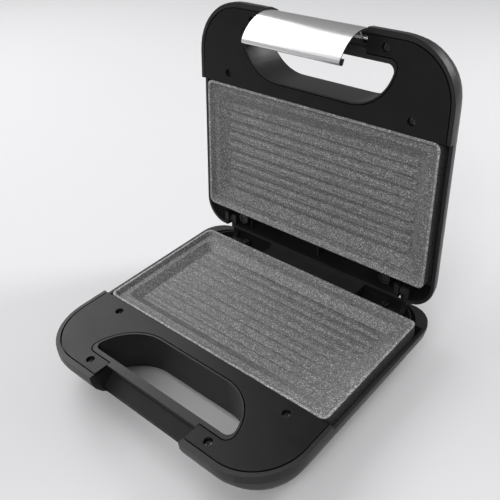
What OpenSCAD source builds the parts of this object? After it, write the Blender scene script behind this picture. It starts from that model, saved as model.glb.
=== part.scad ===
// Sandwich toaster with a hinged lid, drawn standing open.
// Both halves share one shape. Each is drawn in its own frame: X across, Y from the handle (minus)
// to the hinge (plus) with Y = 0 at the rear edge of the grill plate, and Z = 0 on the face where
// the halves meet, minus into the half. in_base() and in_lid() put a half where it belongs.

/* [Opening] */
// Angle through which the drawn lid has been swung open, in degrees
open_angle = 98.1; // [60:0.1:98.1]
// Gap between the two handle faces when the lid is shut
face_gap = 0.8; // [0.6:0.1:1.2]

/* [Casing] */
// Half of the casing's width at the meeting face
casing_hw = 117; // [116.5:0.5:118]
// How far the handle reaches in front of the plate's rear edge
handle_reach = 180.4; // [179.5:0.1:181]
// How far the casing reaches behind the plate's rear edge
rear_reach = 19; // [18.8:0.1:19.4]
// Depth of one casing half at its middle
casing_depth = 33; // [32.5:0.5:35]
// Wall thickness of the casing
wall = 2.5; // [2:0.1:2.8]
// Drop of the casing's rim beside the plate, below the handle face
rim_drop = 4; // [3:0.1:4.5]
// Drop of the deck behind the base's plate, and of the wall behind each tray
deck_drop = 3.3; // [3:0.1:4]
tray_wall_drop = 2.4; // [2:0.1:3]

/* [Handle] */
// Half-width of the line between the handle panel and the casing rim
seam_hw = 113.5; // [112.5:0.1:113.6]
// Width of that line
seam_gap = 0.8; // [0.5:0.1:1]
// Half-width of the latch recess
recess_hw = 45.7; // [45.5:0.1:48]
// Radius of the round ends of the hand opening
hand_r = 38.4; // [38:0.1:38.6]
// Diameter of the panel's screw holes
screw_hole_d = 6.2; // [6:0.1:6.4]

/* [Grill plates] */
// Width of a grill plate
plate_w = 220; // [218:0.5:221]
// Depth of a grill plate, front to back
plate_d = 113; // [112.5:0.1:113]
// Number of ribs on a plate
rib_count = 9; // [5:1:9]
// Distance between two ribs
rib_pitch = 8.73; // [8:0.01:8.8]

/* [Latch] */
// Width of the latch clip
clip_w = 88; // [80:1:89]
// Outer radius of the clip's curve
clip_r = 31.4; // [31.4:0.1:31.6]
// Sheet thickness of the clip
clip_t = 0.8; // [0.6:0.1:0.8]

/* [Hidden] */
$fn = 64;

// The half's place above the floor, and the hinge line in the base's frame
foot_h = 6;
face_height = casing_depth + foot_h;
hinge_y = 14.34;
hinge_z = 11.15 + face_gap / 2;
// The row's origin lies under the middle of the whole open toaster
origin_y = -61.175;

// Casing outline: corner radii at the rim and their change towards the underside, how far the
// underside runs in from each edge, and how much the sides swell below the rim
front_corner_r = 44;
front_corner_loss = 52;
least_corner_r = 16;
rear_corner_r = 21;
side_run = 34;
front_run = 46;
rear_run = 16;
side_swell = 1.3;
front_swell = 2.3;
rear_swell = 2;
slice_angles = [0:11.25:90];
thin = 0.02;
deep = 60;

// Handle block: its rear edge meets the plate
block_rear = -plate_d - 0.4;
seam_front = 176;
seam_corner_r = 39;
panel_t = 2.4;
shoulder_w = 2.7;
shoulder_drop = 6;

// Hand opening, whose round ends are centred on its front line
hand_cx = 33.4;
hand_front = -162.3;
hand_corner_r = 6;
hand_rim = 1.7;
grip_rear = -158.6;
opening_corner_r = 5;

// Latch recess in the front bar: strip edge, hollow under it, sloping floor and lower lip
strip_front = -165.2;
recess_wall = 2.4;
lip_z = -15.8;
recess_profile = [
    [-195, 2], [strip_front, 2], [strip_front, -2.6], [-162.9, -6], [-162.9, -9.5],
    [-171.6, lip_z], [-195, lip_z]
];
bar_bottom = -21.8;
bar_arc_r = 30.4;

// Clip: the curve's centre, the angles where it starts and ends, its lugs and pivot
clip_cy = -147.7;
clip_top_angle = 24;
clip_hook_angle = 64;
pivot_y = -171;
pivot_z = -6;
pivot_r = 1.5;
pivot_fit = 0.06;
lug_x = 41;
lug_t = 1.2;
lug_r = 3.4;

// Panel screws, and their cups under the panel
screw_spots = [[85.8, -122.8], [60.5, -168.6]];
cup_r = 4.6;
cup_depth = 6.4;
head_r = 2.8;
head_top = -2.6;
head_h = 2;
shank_r = 1.5;
screw_len = 14;
boss_r = 4.2;

// Grill plate: rim, ledge, sloping wall and ribbed floor, as insets from the edge and depths
plate_corner_r = 5;
rim_inset = 2;
ledge_outer_inset = 4.2;
ledge_depth = 3.2;
ledge_inner_inset = 9.4;
floor_inset = 17;
floor_depth = 8;
rib_crest = 6.4;
rib_crest_w = 3.4;
rib_foot_w = 6.8;
rib_end_run = 1.6;
plate_thick = 11;
shelf_top = -plate_thick - 0.2;
shelf_in = 106;

// Heater under the plate, heat shield below it
heater_r = 3.2;
heater_z = -plate_thick - heater_r - 0.1;
heater_hx = 62;
heater_y1 = -88;
heater_y2 = -28;
heater_end_x = 78;
shield_t = 0.8;
shield_top = -19;
shield_rim = -12.2;

// Rear of a half: tray beside the deck, its floor and corner, and the ramp at the deck's left end
tray_floor = -10;
tray_in = 50.5;
tray_out = 104;
tray_corner_r = 24;
groove_out = 107.8;
groove_corner_r = 22;
groove_wall = 0.8;
groove_floor = -9;
tray_rear = 17.2;
tray_wall_end = 87;
tray_screw_x = 75;
tray_screw_y = 10.5;
lid_screw_x = 74;
lid_screw_y = 7.5;
lid_boss_depth = 5.4;
lid_boss_r = 5;
lid_cup_r = 3.1;
lid_cup_depth = 2.2;
rib_depth = 10;
rib_spots = [-69, 6, 75];
lip_depth = 4.1;
lip_reach = 3.4;

// Hinge: bracket ear between two walls of the lid, on a steel pin
pin_r = 2.5;
pin_fit = 0.05;
ear_x1 = 88;
ear_x2 = 92;
ear_mid = (ear_x1 + ear_x2) / 2;
ear_t = ear_x2 - ear_x1;
ear_r = 4.6;
ear_back = 4.2;
ear_front = 5;
knuckle_t = 3.9;
knuckle_front = 8;
pin_end = 3.2;
ear_slot = 0.7;
slot_top = 16.8;
ear_seat_y = 15.2;
ear_neck_y = 13;
ear_leg_y = 11;
bracket_t = 2;

// Feet, gland and inner electrical pieces
foot_r = 9;
foot_x = 50;
foot_y1 = -112;
foot_y2 = -8;
foot_screw_r = 1.7;
foot_boss_r = 3.6;
foot_boss_h = 7.5;
foot_hole_h = 7.4;
inner_floor = -30.48;
gland_x = 34;
gland_z = -20;
gland_bore_r = 3.3;
gland_neck_r = 5.9;
gland_y1 = 4;
gland_y2 = 22;
lamp_x = 11;
lamp_y = -96;
lamp_r = 4.5;
wire_r = 1.1;

black_plastic = [0.05, 0.05, 0.055];
panel_black = [0.07, 0.07, 0.075];
stone_grey = [0.36, 0.36, 0.37];
bright_steel = [0.82, 0.82, 0.83];
dull_steel = [0.55, 0.56, 0.57];
rubber_black = [0.03, 0.03, 0.03];
lug_cream = [0.86, 0.84, 0.78];

// Share of an edge's run that the underside has used up at slice angle t
function used(t) = pow(1 - cos(t), 0.95);

// Places: the base stands on its feet, the lid is the same half turned over and swung open
module in_base() {
    translate([0, -origin_y, face_height]) children();
}
module in_lid() {
    translate([0, -origin_y + hinge_y, face_height + hinge_z])
        rotate([-open_angle, 0, 0])
            translate([0, -hinge_y, -hinge_z + face_gap])
                mirror([0, 0, 1]) children();
}

// Lays a flat outline in the Y-Z plane and gives it a length along X
module across(x1, x2) {
    translate([x1, 0, 0]) rotate([90, 0, 90]) linear_extrude(x2 - x1) children();
}
// A round bar along X
module cross_bar(x1, x2, y, z, r) {
    translate([x1, y, z]) rotate([0, 90, 0]) cylinder(r = r, h = x2 - x1);
}

// Outline with round front corners and square rear ones
module block_outline(hw, front, r, rear) {
    intersection() {
        union() {
            translate([-hw, -front + r]) square([2 * hw, rear + front - r]);
            translate([-hw + r, -front]) square([2 * (hw - r), r + thin]);
            for (s = [-1, 1]) translate([s * (hw - r), -front + r]) circle(r);
        }
        translate([-hw, -front]) square([2 * hw, rear + front]);
    }
}
// Outline with four round corners
module round_outline(hw, y1, y2, r) {
    translate([-hw + r, y1]) square([2 * (hw - r), y2 - y1]);
    translate([-hw, y1 + r]) square([2 * hw, y2 - y1 - 2 * r]);
    for (s = [-1, 1], y = [y1 + r, y2 - r]) translate([s * (hw - r), y]) circle(r);
}

// Curved solid of a half, drawn in by e on all sides
module dome(e) {
    hull() {
        for (t = slice_angles, s = [-1, 1]) {
            hw = casing_hw - e - side_run * used(t) + side_swell * sin(2 * t);
            front = handle_reach - e - front_run * used(t) + front_swell * sin(2 * t);
            rear = rear_reach - e - rear_run * used(t) + rear_swell * sin(2 * t);
            fr = max(least_corner_r, front_corner_r - e - front_corner_loss * used(t));
            rr = rear_corner_r - e;
            z = -(casing_depth - e) * sin(t);
            translate([s * (hw - fr), -front + fr, z - thin])
                cylinder(r = fr, h = thin, $fn = 48);
            translate([s * (hw - rr), rear - rr, z - thin])
                cylinder(r = rr, h = thin, $fn = 32);
        }
    }
}

// Hand opening outline, grown by o, with its front line at y = front
module hand_outline(o, front, corner_r) {
    r = hand_r + o;
    cy = front + corner_r;
    cx = hand_cx + sqrt(pow(r - corner_r, 2) - pow(cy - hand_front, 2));
    reach = r / (r - corner_r);
    ax = hand_cx + (cx - hand_cx) * reach;
    ay = hand_front + (cy - hand_front) * reach;
    difference() {
        union() {
            for (s = [-1, 1]) translate([s * hand_cx, hand_front]) circle(r, $fn = 96);
            translate([-hand_cx, hand_front]) square([2 * hand_cx, r]);
        }
        translate([-casing_hw, front - deep]) square([2 * casing_hw, deep]);
        for (s = [-1, 1])
            polygon([[s * cx, cy], [s * cx, front - 1], [s * (ax + 9), front - 1], [s * ax, ay]]);
    }
    for (s = [-1, 1]) translate([s * cx, cy]) circle(corner_r);
}
module seam_outline(o) { hand_outline(o, hand_front - o, hand_corner_r + o); }
module through_outline() { hand_outline(-hand_rim, grip_rear, opening_corner_r); }

// Deck and tray walls that stand a little above the base's lower rim
module rear_edges() {
    translate([-tray_in, 0.9, -rim_drop - 1])
        cube([2 * tray_in, 30, rim_drop + 1 - deck_drop]);
    for (s = [-1, 1]) translate([s > 0 ? tray_in : -tray_wall_end, tray_rear, -rim_drop - 1])
        cube([tray_wall_end - tray_in, 30, rim_drop + 1 - tray_wall_drop]);
}
// Everything solid inside a casing half: what the hollow leaves standing
module casing_inside(is_lid) {
    // Rim round the handle panel, and the shoulder that the panel lies on
    translate([0, 0, -shoulder_drop]) linear_extrude(shoulder_drop) difference() {
        block_outline(casing_hw, handle_reach, front_corner_r, block_rear - 0.1);
        block_outline(seam_hw + seam_gap / 2, seam_front + seam_gap / 2, seam_corner_r, 0);
    }
    translate([0, 0, -shoulder_drop]) linear_extrude(shoulder_drop - panel_t - 0.1) difference() {
        block_outline(casing_hw, handle_reach, front_corner_r, block_rear - 0.1);
        block_outline(seam_hw - shoulder_w, seam_front - shoulder_w, seam_corner_r - shoulder_w, 0);
    }
    // Wall round the hand opening
    translate([0, 0, -deep]) linear_extrude(deep + 1) seam_outline(-seam_gap / 2);
    // Front bar with the latch recess
    translate([-recess_hw, -handle_reach - 1, -deep])
        cube([2 * recess_hw, handle_reach + 1 + grip_rear + 1, deep + 1]);
    translate([-recess_hw - recess_wall, -handle_reach - 1, -deep])
        cube([2 * (recess_hw + recess_wall), handle_reach + 1 + grip_rear + 1, deep - panel_t - 0.1]);
    // Shelf that carries the plate
    translate([0, 0, shelf_top - 2]) linear_extrude(2) difference() {
        round_outline(casing_hw, block_rear - 6, 2, 6);
        round_outline(shelf_in, block_rear + 4, -6, 6);
    }
    // Bosses for the panel screws
    for (s = [-1, 1], p = screw_spots) translate([s * p[0], p[1], -deep])
        cylinder(r = boss_r, h = deep - cup_depth - 0.3);
    if (is_lid) lid_rear_inside();
    else base_rear_inside();
}

module tray_outline(out, rear, r) {
    difference() {
        round_outline(out, -deep, rear, r);
        translate([-tray_in, -deep - 1]) square([2 * tray_in, 2 * deep]);
        translate([-casing_hw, -deep - 1]) square([2 * casing_hw, deep + 1.4]);
    }
}
module base_rear_inside() {
    // Deck behind the plate, with a tray sunk each side
    difference() {
        translate([-casing_hw, 0.4, tray_floor - wall])
            cube([2 * casing_hw, rear_reach, wall - tray_floor]);
        translate([0, 0, tray_floor]) linear_extrude(deep) tray_outline(tray_out, tray_rear, tray_corner_r);
        // Groove round the tray's outer end, and the gap in its wall where the hinge ear stands
        translate([0, 0, groove_floor]) linear_extrude(deep) difference() {
            tray_outline(groove_out, tray_rear, groove_corner_r);
            tray_outline(tray_out + groove_wall, tray_rear + groove_wall, tray_corner_r + groove_wall);
        }
        for (s = [-1, 1]) translate([s * ear_mid - ear_t / 2 - ear_slot, 6, tray_floor])
            cube([ear_t + 2 * ear_slot, tray_rear - 6, deep]);
    }
    // Bosses under the tray screws, and over the feet
    for (s = [-1, 1]) translate([s * tray_screw_x, tray_screw_y, -22]) cylinder(r = 4, h = 12);
    for (x = [-foot_x, foot_x], y = [foot_y1, foot_y2]) translate([x, y, -casing_depth])
        cylinder(r = foot_boss_r, h = foot_boss_h);
}
module lid_rear_inside() {
    // Lip along the plate's rear edge
    translate([-shelf_in, 0.4, shelf_top - 2]) cube([2 * shelf_in, 1.4, -shelf_top + 2 - lip_depth]);
    translate([-shelf_in, 0.4, -lip_depth - 1.6]) cube([2 * shelf_in, lip_reach - 0.4, 1.6]);
    // Stiffening ribs across the hollow behind the plate
    for (x = rib_spots) translate([x - 0.8, 0.4, -deep]) cube([1.6, rear_reach, deep - rib_depth]);
    // Bosses for the rear screws
    for (s = [-1, 1]) translate([s * lid_screw_x, lid_screw_y, -deep])
        cylinder(r = lid_boss_r, h = deep - lid_boss_depth);
    // Walls each side of a hinge ear
    for (s = [-1, 1], x = [ear_x1 - 0.6 - knuckle_t, ear_x2 + 0.6])
        translate([s > 0 ? x : -x - knuckle_t, knuckle_front, -deep])
            cube([knuckle_t, rear_reach, deep - rim_drop - 1]);
}

module casing_half(is_lid) {
    difference() {
        dome(0);
        // Hollow
        difference() {
            translate([0, 0, thin]) dome(wall);
            casing_inside(is_lid);
        }
        // Lower rim beside and behind the plate
        difference() {
            translate([-casing_hw - 1, block_rear, -rim_drop])
                cube([2 * casing_hw + 2, 200, rim_drop + 1]);
            if (!is_lid) rear_edges();
        }
        // Room for the plate above its shelf
        translate([-plate_w / 2 - 0.3, block_rear, -plate_thick - 0.2])
            cube([plate_w + 0.6, plate_d + 0.7, 20]);
        // Hand opening and latch recess
        translate([0, 0, -deep]) linear_extrude(2 * deep) through_outline();
        across(-recess_hw, recess_hw) polygon(recess_profile);
        across(-recess_hw, recess_hw) difference() {
            translate([-195, -deep]) square([195 + grip_rear + 2, deep - 6]);
            translate([clip_cy, face_gap]) circle(bar_arc_r, $fn = 128);
        }
        across(-recess_hw, recess_hw) translate([-180, -deep])
            square([180 + grip_rear + 2, deep + bar_bottom]);
        // Screw holes in the bosses
        for (s = [-1, 1], p = screw_spots) translate([s * p[0], p[1], -18])
            cylinder(r = shank_r + 0.05, h = 20);
        if (is_lid) lid_casing_cuts();
        else base_casing_cuts();
    }
}
module base_casing_cuts() {
    for (x = [-tray_screw_x, tray_screw_x]) translate([x, tray_screw_y, -20])
        cylinder(r = shank_r + 0.05, h = 30);
    translate([gland_x, -2, gland_z]) rotate([-90, 0, 0]) cylinder(r = gland_neck_r + 0.05, h = 40);
    for (x = [-foot_x, foot_x], y = [foot_y1, foot_y2]) translate([x, y, -casing_depth - 1])
        cylinder(r = foot_screw_r + 0.1, h = foot_hole_h);
    // Ramp and notch at the deck's left end
    across(-tray_in - 1, -tray_in + 3) polygon([[1.2, 0], [14, 0], [14, -6], [1.2, -9]]);
    across(-tray_in + 3, -tray_in + 6) polygon([[1.2, 0], [7, 0], [1.2, -6]]);
}
module lid_casing_cuts() {
    for (s = [-1, 1]) {
        // Slot in which a hinge ear turns, open at the rear
        translate([s * ear_mid - ear_t / 2 - ear_slot, 2.5, -slot_top + face_gap])
            cube([ear_t + 2 * ear_slot, 60, 40]);
        // Bore for a hinge pin
        cross_bar(s * ear_mid - ear_t / 2 - pin_end, s * ear_mid + ear_t / 2 + pin_end,
            hinge_y, -hinge_z + face_gap, pin_r + pin_fit);
        translate([s * lid_screw_x, lid_screw_y, -24]) cylinder(r = shank_r + 0.05, h = 40);
        translate([s * lid_screw_x, lid_screw_y, -lid_boss_depth - lid_cup_depth])
            cylinder(r = lid_cup_r, h = 20);
    }
    // Holes for the two lamp lenses and the latch pin's ends
    for (x = [-lamp_x, lamp_x]) translate([x, lamp_y, -deep]) cylinder(r = lamp_r, h = deep - 20);
    cross_bar(-recess_hw - 1.8, recess_hw + 1.8, pivot_y, pivot_z, pivot_r + 0.02);
}

// Cover over the handle block, with four sunk screw cups
module handle_panel() {
    difference() {
        union() {
            translate([0, 0, -panel_t]) linear_extrude(panel_t) difference() {
                block_outline(
                    seam_hw - seam_gap / 2, seam_front - seam_gap / 2, seam_corner_r, block_rear
                );
                seam_outline(seam_gap / 2);
                translate([-recess_hw - 0.4, -deep * 4]) square([2 * recess_hw + 0.8, deep * 4 + hand_front]);
            }
            for (s = [-1, 1], p = screw_spots) translate([s * p[0], p[1], -cup_depth])
                cylinder(r = cup_r, h = cup_depth - 1);
        }
        for (s = [-1, 1], p = screw_spots) translate([s * p[0], p[1], 0]) {
            translate([0, 0, head_top - head_h]) cylinder(r = screw_hole_d / 2, h = 10);
            translate([0, 0, -cup_depth - 1]) cylinder(r = shank_r + 0.15, h = 10);
        }
    }
}
// Cross-head screw, its head's top at the origin
module screw(head, height, shank, len) {
    difference() {
        union() {
            translate([0, 0, -height]) cylinder(r = head, h = height);
            translate([0, 0, -len]) cylinder(r = shank, h = len);
        }
        for (a = [0, 90]) rotate([0, 0, a]) translate([-head * 0.6, -0.35, -1])
            cube([head * 1.2, 0.7, 2]);
    }
}
module panel_screws() {
    for (s = [-1, 1], p = screw_spots) translate([s * p[0], p[1], head_top + 0.02])
        screw(head_r, head_h, shank_r, screw_len);
}

// Cast grill plate: bead rim, ledge, sloping wall and ribs across the floor
module plate_slice(inset, z, r) {
    translate([0, 0, z]) linear_extrude(thin)
        round_outline(plate_w / 2 - inset, -plate_d + inset, -inset, r);
}
module grill_plate() {
    difference() {
        translate([0, 0, -plate_thick]) linear_extrude(plate_thick)
            round_outline(plate_w / 2, -plate_d, 0, plate_corner_r);
        hull() {
            plate_slice(rim_inset, 0, 4);
            plate_slice(ledge_outer_inset, -ledge_depth, 3);
        }
        hull() {
            plate_slice(ledge_inner_inset, -ledge_depth, 5);
            plate_slice(floor_inset, -floor_depth, 2);
        }
    }
    first = -plate_d / 2 - (rib_count - 1) / 2 * rib_pitch;
    for (i = [0 : rib_count - 1]) translate([0, first + i * rib_pitch, 0]) grill_rib();
}
// One rib: sloping sides and ends, its foot sunk a little into the floor
module grill_rib() {
    half_len = plate_w / 2 - floor_inset - 1;
    hull() {
        translate([-half_len, -rib_foot_w / 2, -floor_depth - 0.5])
            cube([2 * half_len, rib_foot_w, 0.5]);
        translate([-half_len + rib_end_run, -rib_crest_w / 2, -rib_crest - thin])
            cube([2 * (half_len - rib_end_run), rib_crest_w, thin]);
    }
}

// Tubular heater: two long runs joined by a round bend, with its cold ends turned to the rear
module heater() {
    bend_r = (heater_y2 - heater_y1) / 2;
    mid_y = (heater_y1 + heater_y2) / 2;
    translate([0, 0, heater_z]) {
        translate([heater_hx, mid_y, 0]) rotate([0, 0, -90]) rotate_extrude(angle = 180)
            translate([bend_r, 0]) circle(heater_r);
        for (y = [heater_y1, heater_y2]) {
            cross_bar(-heater_end_x, heater_hx, y, 0, heater_r);
            cross_bar(-heater_end_x - 10, -heater_end_x + 0.5, y, 0, 1.2);
        }
    }
}
// Steel straps that press the heater against the plate
module heater_clamps() {
    for (x = [-40, 30]) difference() {
        translate([x - 5, heater_y1 - 8, -18.72]) cube([10, heater_y2 - heater_y1 + 16, 1.2]);
        for (y = [-66, -50]) translate([x, y, -20]) cylinder(r = 1.6, h = 5);
    }
    for (x = [-40, 30], y = [-66, -50]) translate([x, y, -19.5]) {
        cylinder(r = 2.8, h = 0.78);
        cylinder(r = 1.5, h = 19.5 - plate_thick - 0.02);
    }
}
// Bright pan that throws the heat back to the plate
module heat_shield() {
    difference() {
        translate([0, 0, shield_top - shield_t]) linear_extrude(shield_rim - shield_top + shield_t)
            round_outline(100, -106, -10, 8);
        translate([0, 0, shield_top]) linear_extrude(20)
            round_outline(100 - shield_t, -106 + shield_t, -10 - shield_t, 7.2);
        for (x = [-40, 30], y = [-66, -50]) translate([x, y, -24]) cylinder(r = 3.2, h = 10);
        translate([-88, -58, -24]) cylinder(r = 5, h = 10);
        translate([0, -58, -24]) cylinder(r = 8.4, h = 10);
    }
}

module foot(x, y) {
    // Rubber foot, slightly wider at the floor, with a sunk screw seat
    in_base() translate([x, y, -casing_depth - foot_h]) difference() {
        rotate_extrude() polygon([
            [3.6, 0], [foot_r - 0.6, 0], [foot_r, 0.6], [foot_r - 1.2, foot_h - 2 * thin],
            [1.9, foot_h - 2 * thin], [1.9, 3], [3.6, 3]
        ]);
    }
}

module hinge_bracket(s) {
    // Ear that stands in the tray and on the rear rim, with a foot under the tray screw
    in_base() difference() {
        union() {
            across(s * ear_mid - ear_t / 2, s * ear_mid + ear_t / 2) {
                translate([hinge_y, hinge_z]) circle(ear_r);
                polygon([
                    [hinge_y - ear_front + 0.8, hinge_z], [hinge_y + ear_back, hinge_z],
                    [hinge_y + ear_back, -rim_drop + 0.05], [ear_seat_y, -rim_drop + 0.05],
                    [ear_seat_y - 0.8, tray_floor + 0.02], [ear_leg_y, tray_floor + 0.02],
                    [ear_leg_y, tray_floor + bracket_t], [ear_neck_y, -rim_drop], [ear_neck_y, 0]
                ]);
            }
            translate([s > 0 ? tray_screw_x - 4 : -ear_x2, 6, tray_floor + 0.02])
                cube([ear_x2 - tray_screw_x + 4, 8, bracket_t]);
        }
        cross_bar(-casing_hw, casing_hw, hinge_y, hinge_z, pin_r + 0.02);
        translate([s * tray_screw_x, tray_screw_y, -12]) cylinder(r = shank_r + 0.15, h = 20);
    }
}
module hinge_pin(s) {
    half_len = ear_t / 2 + pin_end - 0.2;
    in_base() cross_bar(s * ear_mid - half_len, s * ear_mid + half_len, hinge_y, hinge_z, pin_r);
}

module base_casing() { color(black_plastic) in_base() casing_half(false); }
module base_handle_panel() { color(panel_black) in_base() handle_panel(); }
module base_plate() { color(stone_grey) in_base() grill_plate(); }
module base_heat_shield() { color(dull_steel) in_base() heat_shield(); }
module base_heater() { color(dull_steel) in_base() heater(); }
module base_heater_clamps() { color(dull_steel) in_base() heater_clamps(); }
module base_panel_screws() { color(dull_steel) in_base() panel_screws(); }
module hinge_screws() {
    color(dull_steel) in_base() for (x = [-tray_screw_x, tray_screw_x])
        translate([x, tray_screw_y, tray_floor + bracket_t + head_h + 0.04])
            screw(head_r, head_h, shank_r, 12);
}
module thermostat() {
    // Round switch held against the plate's underside
    color(lug_cream) in_base() {
        translate([0, -58, -21.6]) cylinder(r = 7.6, h = 10);
        for (s = [-1, 1]) translate([s * 5 - 1.5, -58.4, -26.4]) cube([3, 0.8, 5]);
    }
}
module thermal_fuse() {
    color(bright_steel) in_base() {
        cross_bar(-70, -58, -12, -23.5, 2);
        cross_bar(-76, -52, -12, -23.5, 0.5);
    }
}
module terminal_block() {
    color(lug_cream) in_base() difference() {
        translate([-14, -11, inner_floor]) cube([28, 11, 9]);
        for (x = [-9, 0, 9]) {
            translate([x, -12, -26]) rotate([-90, 0, 0]) cylinder(r = 1.6, h = 14);
            translate([x, -5.5, -24]) cylinder(r = 1.7, h = 4);
        }
    }
}
module cord_gland() {
    // Rubber sleeve in the rear wall, open for the mains lead
    color(rubber_black) in_base() translate([gland_x, 0, gland_z]) rotate([-90, 0, 0]) difference() {
        union() {
            translate([0, 0, gland_y1]) cylinder(r = gland_neck_r, h = gland_y2 - gland_y1);
            translate([0, 0, gland_y1]) cylinder(r = 7.4, h = 2.6);
        }
        translate([0, 0, gland_y1 - 1]) cylinder(r = gland_bore_r, h = gland_y2 - gland_y1 + 2);
    }
}
module cord_clamp() {
    // Bar and two posts that grip the lead inside the casing
    color(black_plastic) in_base() {
        for (s = [-1, 1]) translate([gland_x + s * 8, -4, inner_floor]) cylinder(r = 2.4, h = 7.1);
        translate([gland_x - 11, -6.5, -23.4]) cube([22, 5, 2.6]);
    }
}
module foot_front_left() { color(rubber_black) foot(-foot_x, foot_y1); }
module foot_front_right() { color(rubber_black) foot(foot_x, foot_y1); }
module foot_rear_left() { color(rubber_black) foot(-foot_x, foot_y2); }
module foot_rear_right() { color(rubber_black) foot(foot_x, foot_y2); }
module foot_screws() {
    color(dull_steel) in_base() for (x = [-foot_x, foot_x], y = [foot_y1, foot_y2])
        translate([x, y, -casing_depth - foot_h + 1]) mirror([0, 0, 1]) screw(3.2, 1.9, foot_screw_r, 11);
}
module hinge_bracket_left() { color(black_plastic) hinge_bracket(-1); }
module hinge_bracket_right() { color(black_plastic) hinge_bracket(1); }
module hinge_pin_left() { color(bright_steel) hinge_pin(-1); }
module hinge_pin_right() { color(bright_steel) hinge_pin(1); }
module wire(points, r) {
    for (i = [0 : len(points) - 2]) hull() {
        translate(points[i]) sphere(r, $fn = 12);
        translate(points[i + 1]) sphere(r, $fn = 12);
    }
}
module base_wires() {
    color([0.7, 0.1, 0.1]) in_base()
        wire([[-90, -30, -22.6], [-88, -6, -23], [-60, -3, -23], [-16.2, -5, -26]], wire_r);
    color([0.1, 0.2, 0.6]) in_base()
        wire([[16.2, -8, -26], [28, -13.6, -24], [60, -13.6, -23.6], [90, -6, -21.8]], wire_r);
}

module lid_casing() { color(black_plastic) in_lid() casing_half(true); }
module lid_handle_panel() { color(panel_black) in_lid() handle_panel(); }
module lid_plate() { color(stone_grey) in_lid() grill_plate(); }
module lid_heat_shield() { color(dull_steel) in_lid() heat_shield(); }
module lid_heater() { color(dull_steel) in_lid() heater(); }
module lid_heater_clamps() { color(dull_steel) in_lid() heater_clamps(); }
module lid_panel_screws() { color(dull_steel) in_lid() panel_screws(); }
module lid_rear_screws() {
    color(dull_steel) in_lid() for (x = [-lid_screw_x, lid_screw_x])
        translate([x, lid_screw_y, -lid_boss_depth - lid_cup_depth + 1.62])
            screw(head_r, head_h - 0.4, shank_r, 12);
}
module lid_thermostat() {
    color(lug_cream) in_lid() {
        translate([0, -58, -21.6]) cylinder(r = 7.6, h = 10);
        for (s = [-1, 1]) translate([s * 5 - 1.5, -58.4, -26.4]) cube([3, 0.8, 5]);
    }
}
module lamp_board() {
    // Card with the two neon lamps behind the lenses
    color([0.1, 0.35, 0.2]) in_lid() translate([-22, lamp_y - 8, -25.4]) cube([44, 16, 1.4]);
    color([0.95, 0.6, 0.3]) in_lid() for (x = [-lamp_x, lamp_x])
        translate([x, lamp_y, -29.4]) cylinder(r = 2, h = 4);
}
module lamp_lens(x) {
    in_lid() translate([x, lamp_y, 0]) {
        translate([0, 0, -casing_depth + 0.1]) cylinder(r = lamp_r - 0.05, h = 3.4);
        translate([0, 0, -casing_depth + wall + 0.02]) cylinder(r = lamp_r + 1.2, h = 1);
    }
}
module power_lamp_lens() { color([0.8, 0.05, 0.05, 0.7]) lamp_lens(-lamp_x); }
module ready_lamp_lens() { color([0.05, 0.6, 0.15, 0.7]) lamp_lens(lamp_x); }
module lid_wires() {
    color([0.7, 0.1, 0.1]) in_lid()
        wire([[-88, -28, -24.5], [-60, -20, -26], [0, -22, -27], [60, -16, -27], [90, -4, -24]], wire_r);
}
module latch_pin() {
    // Steel rod across the lid's recess, its ends in the recess walls
    color(bright_steel) in_lid() cross_bar(-recess_hw - 1.7, recess_hw + 1.7, pivot_y, pivot_z, pivot_r);
}
module latch_clip() {
    // Curved steel sheet with a folded hook below and two lugs on the pin
    in_r = clip_r - clip_t;
    color(bright_steel) in_lid() difference() {
        union() {
            across(-clip_w / 2, clip_w / 2) {
                intersection() {
                    difference() {
                        translate([clip_cy, 0]) circle(clip_r, $fn = 180);
                        translate([clip_cy, 0]) circle(in_r, $fn = 180);
                    }
                    translate([clip_cy, 0]) polygon([
                        [0, 0], [-60 * cos(clip_top_angle), -60 * sin(clip_top_angle)], [-80, 0],
                        [-60 * cos(clip_hook_angle), 60 * sin(clip_hook_angle)]
                    ]);
                }
                // Folded hook: rounded turn, then a lip back towards the sheet
                translate([clip_cy - in_r * cos(clip_hook_angle), in_r * sin(clip_hook_angle)])
                    rotate(-clip_hook_angle + 90) polygon([
                        [-0.4, -0.02], [-0.4, 0.8], [1.6, 0.6], [2.5, -0.6], [2.4, -3.2], [1.4, -4.4],
                        [-2.6, -4.1], [-2.6, -3.4], [1.0, -3.6], [1.5, -3], [1.6, -0.9], [1.1, -0.02]
                    ]);
            }
            // Lugs from the sheet to the pin
            for (s = [-1, 1]) across(s * lug_x - lug_t / 2, s * lug_x + lug_t / 2) {
                translate([pivot_y, pivot_z]) circle(lug_r);
                intersection() {
                    translate([clip_cy, 0]) circle(in_r + 0.3, $fn = 180);
                    polygon([
                        [pivot_y + 1.6, pivot_z - 3.2], [pivot_y - 12, pivot_z - 3.6],
                        [pivot_y - 12, pivot_z + 12], [pivot_y + 2.2, pivot_z + 2.6]
                    ]);
                }
            }
        }
        cross_bar(-casing_hw, casing_hw, pivot_y, pivot_z, pivot_r + pivot_fit);
    }
}

base_casing();
base_handle_panel();
base_plate();
base_heat_shield();
base_heater();
base_heater_clamps();
base_panel_screws();
hinge_screws();
thermostat();
thermal_fuse();
terminal_block();
cord_gland();
cord_clamp();
foot_front_left();
foot_front_right();
foot_rear_left();
foot_rear_right();
foot_screws();
hinge_bracket_left();
hinge_bracket_right();
hinge_pin_left();
hinge_pin_right();
base_wires();
lid_casing();
lid_handle_panel();
lid_plate();
lid_heat_shield();
lid_heater();
lid_heater_clamps();
lid_panel_screws();
lid_rear_screws();
lid_thermostat();
lamp_board();
power_lamp_lens();
ready_lamp_lens();
lid_wires();
latch_pin();
latch_clip();
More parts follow.
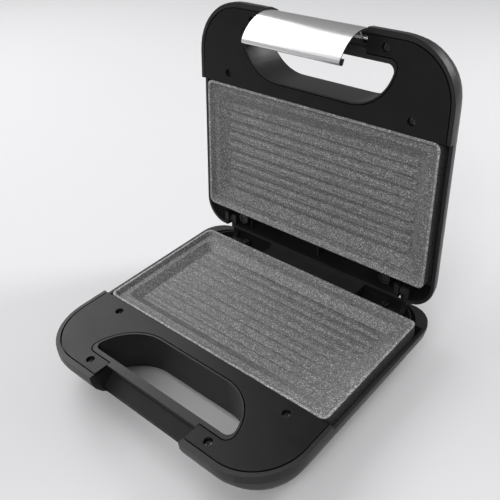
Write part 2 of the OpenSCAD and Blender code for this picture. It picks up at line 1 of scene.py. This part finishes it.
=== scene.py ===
import math
import bpy
from mathutils import Euler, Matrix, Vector


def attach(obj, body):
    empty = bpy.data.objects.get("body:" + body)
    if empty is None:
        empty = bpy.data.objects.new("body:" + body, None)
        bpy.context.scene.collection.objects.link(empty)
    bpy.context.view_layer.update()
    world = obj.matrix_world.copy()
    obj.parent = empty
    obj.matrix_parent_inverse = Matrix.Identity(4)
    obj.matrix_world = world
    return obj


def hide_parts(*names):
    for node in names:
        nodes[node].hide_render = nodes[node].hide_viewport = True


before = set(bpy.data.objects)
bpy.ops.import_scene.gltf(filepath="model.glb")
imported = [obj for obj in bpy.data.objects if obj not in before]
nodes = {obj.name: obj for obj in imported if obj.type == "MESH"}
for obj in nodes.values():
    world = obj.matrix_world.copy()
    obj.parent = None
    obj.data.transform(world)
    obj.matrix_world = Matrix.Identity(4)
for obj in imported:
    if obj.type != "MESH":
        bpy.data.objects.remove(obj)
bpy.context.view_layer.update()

bpy.ops.object.select_all(action="DESELECT")

# ---------------------------------------------------------------- Camera
# Looks down on the open toaster from its front right corner. Lens, place and turn were fitted to
# the plates' corners and the screws, with the shift kept small.
camera_place = (0.30109, -0.2808, 0.38906)
camera_turn_degrees = (58.912, 2.87, 38.586)
camera_data = bpy.data.cameras.new("camera")
camera_data.sensor_width = 36
camera_data.lens = 49.369
camera_data.shift_x = -0.116
camera_data.shift_y = -0.116
camera_data.clip_start = 0.01
camera = bpy.data.objects.new("camera", camera_data)
camera.location = camera_place
camera.rotation_euler = Euler([math.radians(turn) for turn in camera_turn_degrees])
bpy.context.collection.objects.link(camera)
bpy.context.scene.camera = camera
bpy.context.scene.view_settings.view_transform = "Standard"

# ---------------------------------------------------------------- Studio floor and lights
# A pale matt table top. A large soft box hangs high on the left, a small one beside it lights the
# near panel, one at the right rear draws the edges, and a weak one stands at the front right.
bpy.ops.mesh.primitive_plane_add(size=8, location=(0, 0, 0))
floor = bpy.context.object
floor.name = "floor"
floor_finish = bpy.data.materials.new("floor_paper")
floor_finish.use_nodes = True
floor_shader = floor_finish.node_tree.nodes["Principled BSDF"]
floor_shader.inputs["Base Color"].default_value = (0.57, 0.57, 0.58, 1)
floor_shader.inputs["Roughness"].default_value = 0.75
floor_shader.inputs["Specular IOR Level"].default_value = 0.2
floor.data.materials.append(floor_finish)

# The room is brighter high up at the front left, and fades to the other side
brightest_side = (-0.55, -0.6, 0.58)
room = bpy.context.scene.world or bpy.data.worlds.new("room")
bpy.context.scene.world = room
room.use_nodes = True
room_light = room.node_tree.nodes["Background"]
room_light.inputs["Color"].default_value = (1, 1, 1, 1)
room_side = room.node_tree.nodes.new("ShaderNodeVectorMath")
room_side.operation = "DOT_PRODUCT"
room_side.inputs[1].default_value = brightest_side
room_fade = room.node_tree.nodes.new("ShaderNodeMapRange")
for limit, value in (("From Min", -0.35), ("From Max", 0.9), ("To Min", 0.26), ("To Max", 0.58)):
    room_fade.inputs[limit].default_value = value
room_way = room.node_tree.nodes.new("ShaderNodeTexCoord")
room.node_tree.links.new(room_way.outputs["Generated"], room_side.inputs[0])
room.node_tree.links.new(room_side.outputs["Value"], room_fade.inputs["Value"])
room.node_tree.links.new(room_fade.outputs["Result"], room_light.inputs["Strength"])


def soft_box(name, place, aim, width, height, power):
    lamp_data = bpy.data.lights.new(name, "AREA")
    lamp_data.shape = "RECTANGLE"
    lamp_data.size = width
    lamp_data.size_y = height
    lamp_data.energy = power
    lamp = bpy.data.objects.new(name, lamp_data)
    lamp.location = place
    lamp.rotation_euler = (Vector(aim) - Vector(place)).to_track_quat("-Z", "Y").to_euler()
    bpy.context.collection.objects.link(lamp)


soft_box("left_box", (-1.02, -0.08, 1.12), (0, 0, 0.12), 1.2, 1.6, 14.5)
soft_box("left_rear_box", (-1.05, 0.42, 0.92), (-0.05, -0.08, 0.04), 0.6, 0.45, 3)
soft_box("right_rear_box", (0.55, 0.95, 0.75), (0.1, 0.05, 0.2), 0.3, 0.6, 10)
soft_box("front_box", (0.5, -1.0, 1.0), (0, 0.03, 0.12), 0.6, 0.6, 9.5)

# ---------------------------------------------------------------- Casings
# The two halves of the body, injection-moulded in black plastic, with a fine spark-eroded skin
# and edges eased by the mould.


def new_group(name, inputs, outputs):
    group = bpy.data.node_groups.new(name, "ShaderNodeTree")
    for label, start in inputs.items():
        kind = "NodeSocketFloat" if isinstance(start, float) else "NodeSocketVector"
        socket = group.interface.new_socket(name=label, in_out="INPUT", socket_type=kind)
        socket.default_value = start
    for label in outputs:
        group.interface.new_socket(name=label, in_out="OUTPUT", socket_type="NodeSocketFloat")
    group_in = group.nodes.new("NodeGroupInput")
    group_out = group.nodes.new("NodeGroupOutput")
    return group, group_in.outputs, group_out.inputs


def feed(tree, source, socket):
    if isinstance(source, bpy.types.NodeSocket):
        tree.links.new(source, socket)
    else:
        socket.default_value = source


def sum_up(tree, operation, *terms):
    step = tree.nodes.new("ShaderNodeMath")
    step.operation = operation
    for term, socket in zip(terms, step.inputs):
        feed(tree, term, socket)
    return step.outputs[0]


def cloud(tree, place, scale, detail, roughness):
    noise = tree.nodes.new("ShaderNodeTexNoise")
    feed(tree, place, noise.inputs["Vector"])
    feed(tree, scale, noise.inputs["Scale"])
    noise.inputs["Detail"].default_value = detail
    noise.inputs["Roughness"].default_value = roughness
    return noise.outputs["Fac"]


def cells(tree, place, scale):
    voronoi = tree.nodes.new("ShaderNodeTexVoronoi")
    feed(tree, place, voronoi.inputs["Vector"])
    feed(tree, scale, voronoi.inputs["Scale"])
    return voronoi.outputs


def band(tree, source, low, high):
    ramp = tree.nodes.new("ShaderNodeMapRange")
    feed(tree, source, ramp.inputs["Value"])
    ramp.inputs["From Min"].default_value = low
    ramp.inputs["From Max"].default_value = high
    return ramp.outputs["Result"]


# Pits of the eroded mould, and broad marks where the skin is a little glossier
moulded_skin, skin_in, skin_out = new_group(
    "moulded_skin", {"Grain Size": 0.0006, "Roughness": 0.5, "Spread": 0.1},
    ["Height", "Roughness", "Shade"])
skin_place = moulded_skin.nodes.new("ShaderNodeTexCoord").outputs["Object"]
grains_per_metre = sum_up(moulded_skin, "DIVIDE", 1.0, skin_in["Grain Size"])
pits = cells(moulded_skin, skin_place, grains_per_metre)["Distance"]
grain_scale = sum_up(moulded_skin, "MULTIPLY", grains_per_metre, 0.7)
fine_grain = cloud(moulded_skin, skin_place, grain_scale, 3, 0.65)
broad_marks = cloud(moulded_skin, skin_place, 38.0, 4, 0.6)
grain = sum_up(moulded_skin, "ADD", sum_up(moulded_skin, "MULTIPLY", pits, 0.55), fine_grain)
feed(moulded_skin, grain, skin_out["Height"])
skin_mix = sum_up(moulded_skin, "ADD", fine_grain, broad_marks)
feed(moulded_skin, band(moulded_skin, skin_mix, 0.7, 1.3), skin_out["Shade"])
skin_change = sum_up(moulded_skin, "SUBTRACT", skin_mix, 1.0)
unevenness = sum_up(moulded_skin, "MULTIPLY", skin_change, skin_in["Spread"])
skin_gloss = sum_up(moulded_skin, "ADD", skin_in["Roughness"], unevenness)
feed(moulded_skin, skin_gloss, skin_out["Roughness"])


def new_finish(name, shader_values):
    finish = bpy.data.materials.new(name)
    finish.use_nodes = True
    shader = finish.node_tree.nodes["Principled BSDF"]
    for socket, value in shader_values.items():
        shader.inputs[socket].default_value = value
    return finish, finish.node_tree, shader.inputs


def put_group(tree, group, values):
    box = tree.nodes.new("ShaderNodeGroup")
    box.node_tree = group
    for socket, value in values.items():
        feed(tree, value, box.inputs[socket])
    return box.outputs


def two_tone(tree, share, dark, light):
    mix = tree.nodes.new("ShaderNodeMix")
    mix.data_type = "RGBA"
    feed(tree, share, mix.inputs["Factor"])
    mix.inputs["A"].default_value = (*dark, 1)
    mix.inputs["B"].default_value = (*light, 1)
    return mix.outputs["Result"]


def emboss(tree, height, depth):
    bump = tree.nodes.new("ShaderNodeBump")
    bump.inputs["Distance"].default_value = depth
    tree.links.new(height, bump.inputs["Height"])
    return bump.outputs["Normal"]


def moulded_finish(name, dark, light, grain_size, depth, roughness, specular):
    finish, tree, shader = new_finish(name, {"Specular IOR Level": specular})
    skin = put_group(
        tree, moulded_skin, {"Grain Size": grain_size, "Roughness": roughness, "Spread": 0.16})
    feed(tree, two_tone(tree, skin["Shade"], dark, light), shader["Base Color"])
    feed(tree, skin["Roughness"], shader["Roughness"])
    feed(tree, emboss(tree, skin["Height"], depth), shader["Normal"])
    return finish


# Smooths the shading over every edge that turns less than gentle_degrees, live, after the bevel
gentle_degrees = 34
smoothed = bpy.data.node_groups.new("smoothed_skin", "GeometryNodeTree")
smoothed.is_modifier = True
smoothed.interface.new_socket(name="Mesh", in_out="INPUT", socket_type="NodeSocketGeometry")
smoothed.interface.new_socket(name="Mesh", in_out="OUTPUT", socket_type="NodeSocketGeometry")
smooth_in = smoothed.nodes.new("NodeGroupInput")
smooth_out = smoothed.nodes.new("NodeGroupOutput")
edge_turn = smoothed.nodes.new("GeometryNodeInputMeshEdgeAngle")
gentle = smoothed.nodes.new("FunctionNodeCompare")
gentle.operation = "LESS_THAN"
gentle.inputs["B"].default_value = math.radians(gentle_degrees)
all_faces = smoothed.nodes.new("GeometryNodeSetShadeSmooth")
gentle_edges = smoothed.nodes.new("GeometryNodeSetShadeSmooth")
gentle_edges.domain = "EDGE"
smoothed.links.new(edge_turn.outputs["Unsigned Angle"], gentle.inputs["A"])
smoothed.links.new(smooth_in.outputs[0], all_faces.inputs["Geometry"])
smoothed.links.new(all_faces.outputs["Geometry"], gentle_edges.inputs["Geometry"])
smoothed.links.new(gentle.outputs["Result"], gentle_edges.inputs["Shade Smooth"])
smoothed.links.new(gentle_edges.outputs["Geometry"], smooth_out.inputs[0])


def ease_edges(piece, radius, flat=0.6, segments=3):
    # Joins faces that turn less than flat degrees, then rounds the edges that turn past eased
    eased = 28
    piece.modifiers.new("join", "WELD").merge_threshold = 1e-6
    level = piece.modifiers.new("level", "DECIMATE")
    level.decimate_type = "DISSOLVE"
    level.angle_limit = math.radians(flat)
    ease = piece.modifiers.new("ease", "BEVEL")
    ease.width = radius
    ease.segments = segments
    ease.limit_method = "ANGLE"
    ease.angle_limit = math.radians(eased)
    ease.use_clamp_overlap = True
    piece.modifiers.new("smooth", "NODES").node_group = smoothed
    piece.modifiers.new("weigh", "WEIGHTED_NORMAL").keep_sharp = True


def dress(finish, *names):
    for name in names:
        nodes[name].data.materials.clear()
        nodes[name].data.materials.append(finish)


casing_black = moulded_finish(
    "casing_black", (0.006, 0.006, 0.0063), (0.012, 0.012, 0.0126), 0.0007, 0.00005, 0.42, 0.27)
dress(casing_black, "base_casing", "lid_casing")
for half in ("base_casing", "lid_casing"):
    ease_edges(nodes[half], 0.0006)

# ---------------------------------------------------------------- Handle panels
# Flat covers over the two handles, moulded apart in the same black but with a smoother, satin
# skin. Each is held by four screws in sunk cups.
panel_black = moulded_finish(
    "panel_black", (0.004, 0.004, 0.0042), (0.008, 0.008, 0.0084), 0.0005, 0.00003, 0.33, 0.15)
dress(panel_black, "base_handle_panel", "lid_handle_panel")
for panel in ("base_handle_panel", "lid_handle_panel"):
    ease_edges(nodes[panel], 0.0005)

# ---------------------------------------------------------------- Grill plates
# Die-cast aluminium plates with nine soft ribs, sprayed with a grey stone-flecked non-stick
# coating. Over the rim's edge the coating is painted lighter as a painted highlight, and on the
# skirt it is painted darker as painted shade.
flecked_coating, coat_in, coat_out = new_group(
    "flecked_coating", {"Fleck Size": 0.0009},
    ["Light Flecks", "Dark Flecks", "Cloud", "Height"])
coat_place = flecked_coating.nodes.new("ShaderNodeTexCoord").outputs["Object"]
flecks_per_metre = sum_up(flecked_coating, "DIVIDE", 1.0, coat_in["Fleck Size"])
flecks = cells(flecked_coating, coat_place, flecks_per_metre)
small_flecks = cells(
    flecked_coating, coat_place, sum_up(flecked_coating, "MULTIPLY", flecks_per_metre, 1.9))
fleck_lot = flecked_coating.nodes.new("ShaderNodeSeparateColor")
flecked_coating.links.new(flecks["Color"], fleck_lot.inputs["Color"])
small_lot = flecked_coating.nodes.new("ShaderNodeSeparateColor")
flecked_coating.links.new(small_flecks["Color"], small_lot.inputs["Color"])
fleck_heart = band(flecked_coating, flecks["Distance"], 0.55, 0.25)
small_heart = band(flecked_coating, small_flecks["Distance"], 0.6, 0.3)


def chosen_flecks(lot, colour, low, high, heart):
    # The share of the flecks whose random colour lies past the limits, faded at their edges
    share = band(flecked_coating, lot.outputs[colour], low, high)
    return sum_up(flecked_coating, "MULTIPLY", share, heart)


light_big = chosen_flecks(fleck_lot, "Red", 0.66, 0.8, fleck_heart)
light_small = chosen_flecks(small_lot, "Green", 0.7, 0.8, small_heart)
dark_big = chosen_flecks(fleck_lot, "Green", 0.36, 0.24, fleck_heart)
dark_small = chosen_flecks(small_lot, "Blue", 0.3, 0.2, small_heart)
cloud_scale = sum_up(flecked_coating, "MULTIPLY", flecks_per_metre, 0.35)
coat_cloud = cloud(flecked_coating, coat_place, cloud_scale, 4, 0.6)
coat_peel = cloud(flecked_coating, coat_place, flecks_per_metre, 2, 0.5)
light_flecks = sum_up(flecked_coating, "MAXIMUM", light_big, light_small)
dark_flecks = sum_up(flecked_coating, "MAXIMUM", dark_big, dark_small)
feed(flecked_coating, light_flecks, coat_out["Light Flecks"])
feed(flecked_coating, dark_flecks, coat_out["Dark Flecks"])
feed(flecked_coating, band(flecked_coating, coat_cloud, 0.3, 0.7), coat_out["Cloud"])
raised_flecks = sum_up(flecked_coating, "MULTIPLY", light_big, 0.5)
feed(flecked_coating, sum_up(flecked_coating, "ADD", coat_peel, raised_flecks), coat_out["Height"])


def coating_finish(name, lightness, roughness):
    finish, tree, shader = new_finish(name, {"Specular IOR Level": 0.4})
    coat = put_group(tree, flecked_coating, {"Fleck Size": 0.00095})
    dark_ground, light_ground, dark_fleck, light_fleck = 0.085, 0.125, 0.03, 0.38
    ground = two_tone(
        tree, coat["Cloud"], [dark_ground * lightness] * 3, [light_ground * lightness] * 3)
    for flecks_shown, fleck in (("Dark Flecks", dark_fleck), ("Light Flecks", light_fleck)):
        tone = fleck * lightness
        layer = tree.nodes.new("ShaderNodeMix")
        layer.data_type = "RGBA"
        layer.inputs["B"].default_value = (tone, tone, tone * 1.02, 1)
        feed(tree, coat[flecks_shown], layer.inputs["Factor"])
        feed(tree, ground, layer.inputs["A"])
        ground = layer.outputs["Result"]
    feed(tree, ground, shader["Base Color"])
    gloss = sum_up(tree, "ADD", roughness, sum_up(tree, "MULTIPLY", coat["Cloud"], 0.12))
    feed(tree, gloss, shader["Roughness"])
    feed(tree, emboss(tree, coat["Height"], 0.00006), shader["Normal"])
    return finish


plate_coating = coating_finish("plate_coating", 0.92, 0.42)
# A lighter copy of the coating: a painted highlight along the rim's edge
rim_coating_painted_highlight = coating_finish("rim_coating_painted_highlight", 1.5, 0.34)
# A darker copy of the coating: painted shade on the skirt below the rim
skirt_coating_painted_shade = coating_finish("skirt_coating_painted_shade", 0.3, 0.5)


def in_half(point, lid):
    # A point in metres, back in the frame of its own half: Y from the plate's rear edge, Z from
    # the face where the halves meet, minus into the half
    x, y, z = point
    rear_edge_y, meeting_z = 0.061175, 0.039
    y, z = y - rear_edge_y, z - meeting_z
    if not lid:
        return x, y, z
    hinge_y, hinge_z, gap, swing = 0.01434, 0.01155, 0.0008, math.radians(98.1)
    y, z = y - hinge_y, z - hinge_z
    y, z = y * math.cos(swing) - z * math.sin(swing), y * math.sin(swing) + z * math.cos(swing)
    return x, y + hinge_y, gap - (z + hinge_z)


def cast_plate(node, lid, name, body):
    plate = bpy.data.objects.new(name, nodes[node].data.copy())
    bpy.context.collection.objects.link(plate)
    bpy.context.view_layer.objects.active = plate
    plate.select_set(True)
    plate.data.materials.clear()
    plate.data.materials.append(plate_coating)
    plate.data.materials.append(rim_coating_painted_highlight)
    plate.data.materials.append(skirt_coating_painted_shade)
    bpy.ops.object.mode_set(mode="EDIT")
    bpy.ops.mesh.select_mode(type="EDGE")
    bpy.ops.mesh.select_all(action="SELECT")
    bpy.ops.mesh.remove_doubles(threshold=1e-6)
    bpy.ops.mesh.dissolve_limited(angle_limit=math.radians(1.5))

    def ease(chosen, radius, segments, lit):
        bpy.ops.mesh.select_all(action="DESELECT")
        bpy.ops.object.mode_set(mode="OBJECT")
        spots = [in_half(v.co, lid) for v in plate.data.vertices]
        for edge in plate.data.edges:
            edge.select = chosen(*(spots[v] for v in edge.vertices))
        bpy.ops.object.mode_set(mode="EDIT")
        bpy.ops.mesh.bevel(
            offset=radius, segments=segments, profile=0.5, affect="EDGES", clamp_overlap=True)
        bpy.ops.object.mode_set(mode="OBJECT")
        for face in plate.data.polygons:
            if lit and face.select:
                face.material_index = 1
        bpy.ops.object.mode_set(mode="EDIT")

    # Heights from the rim and places from the rear edge, in metres
    slack, ledge_z = 0.0001, -0.0032
    rib_low, rib_high, ribs_front, ribs_rear = -0.0081, -0.0063, -0.0975, -0.0155

    def on_rim(a, b):
        return max(abs(a[2]), abs(b[2])) < slack

    def on_ribs(a, b):
        return all(rib_low < spot[2] < rib_high and ribs_front < spot[1] < ribs_rear
                   for spot in (a, b))

    def on_walls(a, b):
        return abs(a[2] - b[2]) < slack and abs(a[2] - ledge_z) < 2 * slack

    ease(on_ribs, 0.0012, 4, False)
    ease(on_walls, 0.0006, 3, False)
    # The rim's rounded faces take the lighter copy of the coating, a painted highlight
    ease(on_rim, 0.0005, 3, True)
    bpy.ops.object.mode_set(mode="OBJECT")
    # The skirt is every steep face that looks outward, in a strip along the plate's edge; these
    # faces take painted shade
    strip, below_rim = 0.009, -0.0006
    half_width = max(abs(v.co.x) for v in plate.data.vertices)
    spots = [Vector(in_half(v.co, lid)) for v in plate.data.vertices]
    low_y = min(spot.y for spot in spots)
    for face in plate.data.polygons:
        corners = [spots[v] for v in face.vertices]
        heart = sum(corners, Vector()) / len(corners)
        facing = (corners[1] - corners[0]).cross(corners[2] - corners[1]).normalized()
        if lid:
            facing = -facing
        to_side, to_rear = heart.x / half_width, 1 - 2 * heart.y / low_y
        outward = facing.x * to_side + facing.y * to_rear
        by_edge = abs(heart.x) > half_width - strip or heart.y > -strip or heart.y < low_y + strip
        if by_edge and outward > 0.2 and abs(facing.z) < 0.5 and heart.z < below_rim:
            face.material_index = 2
    bpy.ops.object.shade_smooth_by_angle(angle=math.radians(40))
    plate.select_set(False)
    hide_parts(node)
    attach(plate, body)


cast_plate("base_plate", False, "base_grill_plate", "base")
cast_plate("lid_plate", True, "lid_grill_plate", "lid")

# ---------------------------------------------------------------- Screws
# Cross-head screws: blackened steel in the handle panels' cups, the lid's rear and the hinge
# brackets, zinc-plated steel under the feet.
rolled_metal, metal_in, metal_out = new_group(
    "rolled_metal", {"Stretch": (40.0, 2600.0, 2600.0), "Roughness": 0.3, "Spread": 0.12},
    ["Height", "Roughness", "Shade"])
metal_place = rolled_metal.nodes.new("ShaderNodeTexCoord").outputs["Object"]
stretched = rolled_metal.nodes.new("ShaderNodeVectorMath")
stretched.operation = "MULTIPLY"
rolled_metal.links.new(metal_place, stretched.inputs[0])
rolled_metal.links.new(metal_in["Stretch"], stretched.inputs[1])
streaks = cloud(rolled_metal, stretched.outputs[0], 1.0, 3, 0.6)
plating = cloud(rolled_metal, metal_place, 420.0, 3, 0.6)
metal_mix = sum_up(rolled_metal, "ADD", sum_up(rolled_metal, "MULTIPLY", streaks, 1.6),
                   sum_up(rolled_metal, "MULTIPLY", plating, 0.4))
feed(rolled_metal, streaks, metal_out["Height"])
feed(rolled_metal, band(rolled_metal, metal_mix, 0.7, 1.3), metal_out["Shade"])
metal_change = sum_up(rolled_metal, "SUBTRACT", metal_mix, 1.0)
metal_spread = sum_up(rolled_metal, "MULTIPLY", metal_change, metal_in["Spread"])
metal_gloss = sum_up(rolled_metal, "ADD", metal_in["Roughness"], metal_spread)
feed(rolled_metal, metal_gloss, metal_out["Roughness"])


def metal_finish(name, dark, light, stretch, roughness, spread, depth):
    finish, tree, shader = new_finish(name, {"Metallic": 1.0})
    metal = put_group(
        tree, rolled_metal, {"Stretch": stretch, "Roughness": roughness, "Spread": spread})
    feed(tree, two_tone(tree, metal["Shade"], dark, light), shader["Base Color"])
    feed(tree, metal["Roughness"], shader["Roughness"])
    feed(tree, emboss(tree, metal["Height"], depth), shader["Normal"])
    return finish


even_stretch = (900.0, 900.0, 900.0)
screw_black = metal_finish(
    "screw_black", (0.05, 0.05, 0.052), (0.13, 0.13, 0.135), even_stretch, 0.38, 0.2, 0.00002)
zinc_plated = metal_finish(
    "zinc_plated", (0.30, 0.31, 0.33), (0.47, 0.48, 0.49), even_stretch, 0.33, 0.2, 0.00002)
black_screws = ("base_panel_screws", "lid_panel_screws", "hinge_screws", "lid_rear_screws")
dress(screw_black, *black_screws)
dress(zinc_plated, "foot_screws")
for screws in (*black_screws, "foot_screws"):
    ease_edges(nodes[screws], 0.0002, segments=2)

# ---------------------------------------------------------------- Hinge brackets and pins
# Two black painted steel ears, screwed down in the trays at the base's rear, and the turned
# steel pins on which the lid's knuckles swing.
bracket_paint = moulded_finish(
    "bracket_paint", (0.006, 0.006, 0.006), (0.011, 0.011, 0.0115), 0.0009, 0.00003, 0.55, 0.2)
dress(bracket_paint, "hinge_bracket_left", "hinge_bracket_right")
pin_steel = metal_finish(
    "pin_steel", (0.42, 0.42, 0.43), (0.58, 0.58, 0.59), (3200.0, 60.0, 60.0),
    0.26, 0.14, 0.00001)
dress(pin_steel, "hinge_pin_left", "hinge_pin_right")
for fitting in ("hinge_bracket_left", "hinge_bracket_right", "hinge_pin_left", "hinge_pin_right"):
    ease_edges(nodes[fitting], 0.0003, segments=2)

# ---------------------------------------------------------------- Feet and cord gland
# Soft black rubber: four feet under the base, each round a sunk screw, and the sleeve in the
# rear wall through which the mains lead goes in.
rubber = moulded_finish(
    "rubber", (0.013, 0.013, 0.013), (0.026, 0.026, 0.026), 0.0011, 0.00006, 0.78, 0.3)
feet = ("foot_front_left", "foot_front_right", "foot_rear_left", "foot_rear_right")
dress(rubber, "cord_gland", *feet)
for soft_part in ("cord_gland", *feet):
    ease_edges(nodes[soft_part], 0.0004, segments=2)

# ---------------------------------------------------------------- Heaters, clamps and heat shields
# A sheathed tubular heater lies in each half, pressed to the plate by two steel straps, over a
# bright pressed pan that throws the heat back.
heater_sheath = metal_finish(
    "heater_sheath", (0.11, 0.10, 0.085), (0.21, 0.19, 0.16), (70.0, 1500.0, 1500.0),
    0.48, 0.2, 0.00002)
shield_sheet = metal_finish(
    "shield_sheet", (0.47, 0.48, 0.49), (0.63, 0.64, 0.65), (30.0, 1800.0, 1800.0),
    0.3, 0.16, 0.00001)
dress(heater_sheath, "base_heater", "lid_heater")
dress(zinc_plated, "base_heater_clamps", "lid_heater_clamps")
dress(shield_sheet, "base_heat_shield", "lid_heat_shield")
sheet_parts = ("base_heater_clamps", "lid_heater_clamps", "base_heat_shield", "lid_heat_shield")
for sheet_part in sheet_parts:
    ease_edges(nodes[sheet_part], 0.0002, segments=2)

# ---------------------------------------------------------------- Thermostats, fuse and leads
# The parts that switch and carry the mains inside: cream heat-proof mouldings, a metal-cased
# fuse, a clamp for the cord, and leads in a red braided glass sleeve.
heatproof_cream = moulded_finish(
    "heatproof_cream", (0.60, 0.55, 0.43), (0.73, 0.69, 0.58), 0.0012, 0.00004, 0.5, 0.45)
dress(heatproof_cream, "thermostat", "lid_thermostat", "terminal_block")
dress(zinc_plated, "thermal_fuse")
dress(casing_black, "cord_clamp")
for moulding in ("thermostat", "lid_thermostat", "terminal_block", "cord_clamp"):
    ease_edges(nodes[moulding], 0.0003, segments=2)

sleeve_red, sleeve_tree, sleeve_shader = new_finish("sleeve_red", {"Specular IOR Level": 0.35})
sleeve_place = sleeve_tree.nodes.new("ShaderNodeTexCoord").outputs["Object"]
strands = []
for lean in (1, -1):
    strand_turn = sleeve_tree.nodes.new("ShaderNodeMapping")
    strand_turn.inputs["Rotation"].default_value = (0.6 * lean, 0, math.radians(42 * lean))
    feed(sleeve_tree, sleeve_place, strand_turn.inputs["Vector"])
    strand = sleeve_tree.nodes.new("ShaderNodeTexWave")
    strand.inputs["Scale"].default_value = 420
    feed(sleeve_tree, strand_turn.outputs["Vector"], strand.inputs["Vector"])
    strands.append(strand.outputs["Fac"])
braid = sum_up(sleeve_tree, "MAXIMUM", *strands)
braid_colour = two_tone(sleeve_tree, braid, (0.10, 0.012, 0.01), (0.36, 0.045, 0.035))
feed(sleeve_tree, braid_colour, sleeve_shader["Base Color"])
braid_gloss = sum_up(sleeve_tree, "MULTIPLY", braid, 0.2)
feed(sleeve_tree, sum_up(sleeve_tree, "SUBTRACT", 0.85, braid_gloss), sleeve_shader["Roughness"])
feed(sleeve_tree, emboss(sleeve_tree, braid, 0.00015), sleeve_shader["Normal"])
dress(sleeve_red, "base_wires", "lid_wires")

# ---------------------------------------------------------------- Lamp card and lenses
# A green card behind the lid's outer face carries two small lamps. A red and a green moulded
# lens let their light through.
card_green = moulded_finish(
    "card_green", (0.02, 0.085, 0.04), (0.035, 0.14, 0.065), 0.0016, 0.00002, 0.4, 0.5)
dress(card_green, "lamp_board")


def lens_finish(name, dark, light):
    finish, tree, shader = new_finish(
        name, {"Coat Weight": 0.6, "Transmission Weight": 0.35, "IOR": 1.49})
    place = tree.nodes.new("ShaderNodeTexCoord").outputs["Object"]
    prisms = cells(tree, place, 900.0)["Distance"]
    feed(tree, two_tone(tree, band(tree, prisms, 0.1, 0.6), light, dark), shader["Base Color"])
    feed(tree, sum_up(tree, "ADD", 0.1, sum_up(tree, "MULTIPLY", prisms, 0.15)), shader["Roughness"])
    feed(tree, emboss(tree, prisms, 0.0001), shader["Normal"])
    return finish


dress(lens_finish("lens_red", (0.20, 0.006, 0.006), (0.55, 0.02, 0.016)), "power_lamp_lens")
dress(lens_finish("lens_green", (0.008, 0.13, 0.03), (0.02, 0.38, 0.09)), "ready_lamp_lens")
for lens in ("power_lamp_lens", "ready_lamp_lens"):
    ease_edges(nodes[lens], 0.0003, segments=2)

# ---------------------------------------------------------------- Latch clip and its rod
# A curved strip of satin stainless sheet, hooked below to grip the base's bar, swings on a
# steel rod across the lid's recess.
clip_satin = metal_finish(
    "clip_satin", (0.62, 0.62, 0.63), (0.68, 0.68, 0.69), (9.0, 1500.0, 1500.0),
    0.22, 0.05, 0.0000008)
dress(clip_satin, "latch_clip")
dress(pin_steel, "latch_pin")
ease_edges(nodes["latch_clip"], 0.00022, flat=0.3, segments=2)
ease_edges(nodes["latch_pin"], 0.0002, segments=2)
